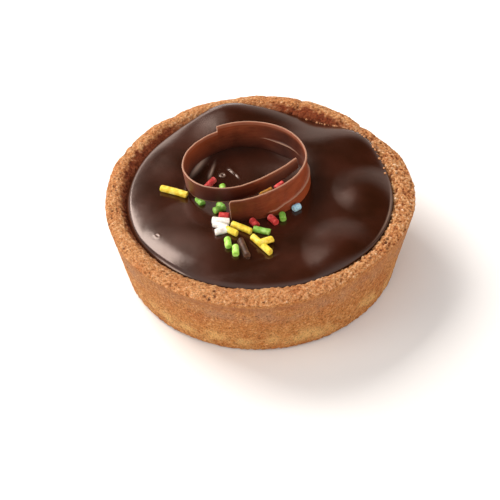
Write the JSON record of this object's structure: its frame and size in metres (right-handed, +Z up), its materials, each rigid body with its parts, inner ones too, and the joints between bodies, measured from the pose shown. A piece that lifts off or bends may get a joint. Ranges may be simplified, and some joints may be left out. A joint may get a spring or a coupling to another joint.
{
  "type": "chocolate tart",
  "caption": "Round individual tart: deep golden pastry case, glossy dark chocolate filling with a rolled edge, coloured sugar sprinkles and a standing curl of chocolate ribbon.",
  "frame": {"origin": "middle of the bounding box at the underside of the pastry case, where the tart rests", "axes": "+Z up; +X to the right and -Y towards the viewer who faces the outer end of the ribbon"},
  "size_m": [0.0806, 0.0821, 0.0309],
  "materials": {
    "pastry": "baked short pastry: golden brown, matt, crumbly and porous",
    "chocolate_glaze": "set chocolate ganache: dark brown, smooth and glossy, with coloured sugar sprinkles",
    "chocolate_ribbon": "tempered chocolate: reddish brown, satin, with paler cut edges"
  },
  "bodies": {
    "root": {"pastry_case": "pastry", "chocolate_filling": "chocolate_glaze", "chocolate_curl": "chocolate_ribbon"}
  },
  "joints": []
}
